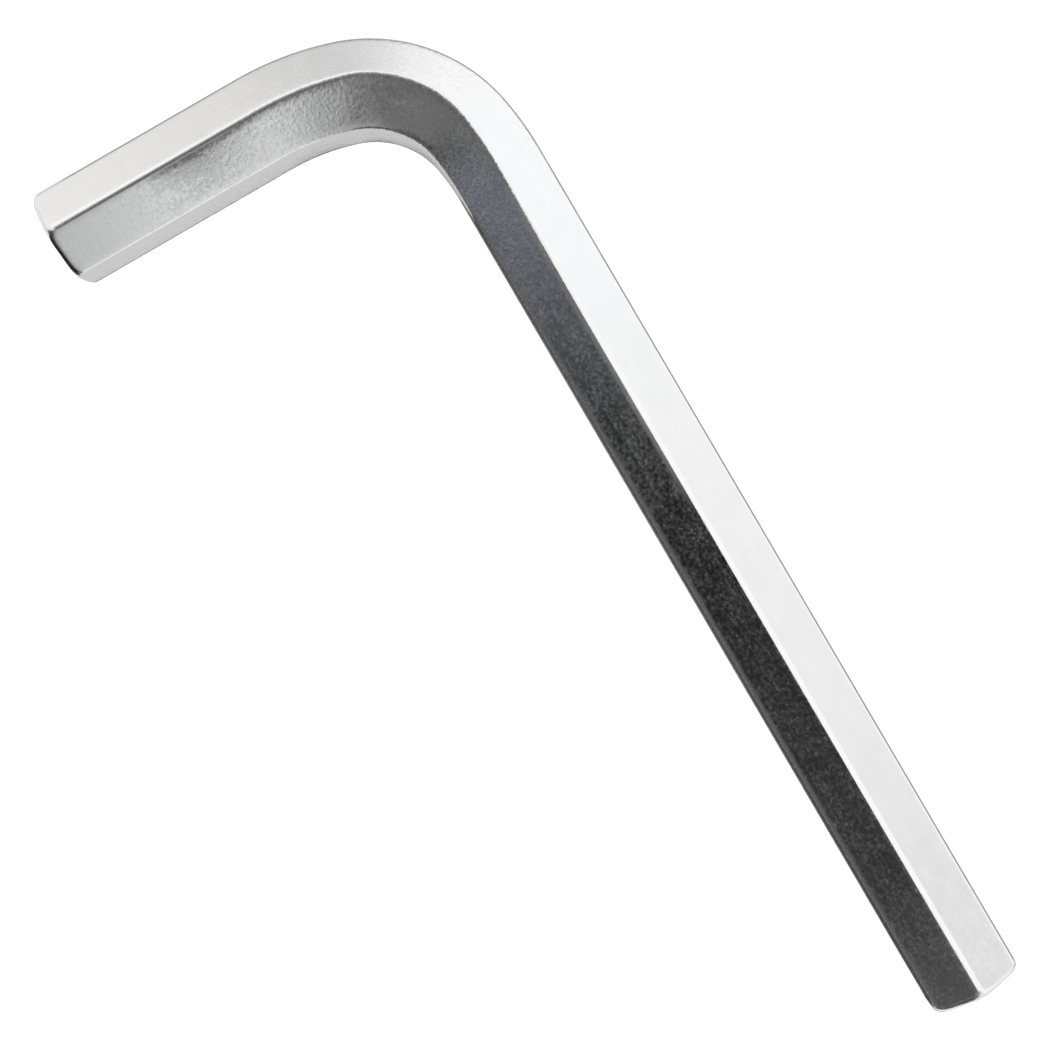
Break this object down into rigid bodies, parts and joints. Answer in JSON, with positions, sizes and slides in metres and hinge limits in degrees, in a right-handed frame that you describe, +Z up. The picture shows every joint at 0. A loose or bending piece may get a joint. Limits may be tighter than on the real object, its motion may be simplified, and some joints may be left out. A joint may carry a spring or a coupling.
{
  "type": "hex key",
  "caption": "L-shaped hex key: a hexagonal steel bar bent at a right angle, with a long and a short arm and rounded ends.",
  "frame": {"origin": "under the middle of the key's box, on the surface that the key lies on", "axes": "+X along the long arm, away from the bend; -Y along the short arm, away from the bend; +Z up"},
  "size_m": [0.122, 0.049, 0.0113],
  "materials": {
    "steel": "satin bright nickel plate over drawn steel"
  },
  "bodies": {
    "root": {"hex_key": "steel"}
  },
  "joints": []
}
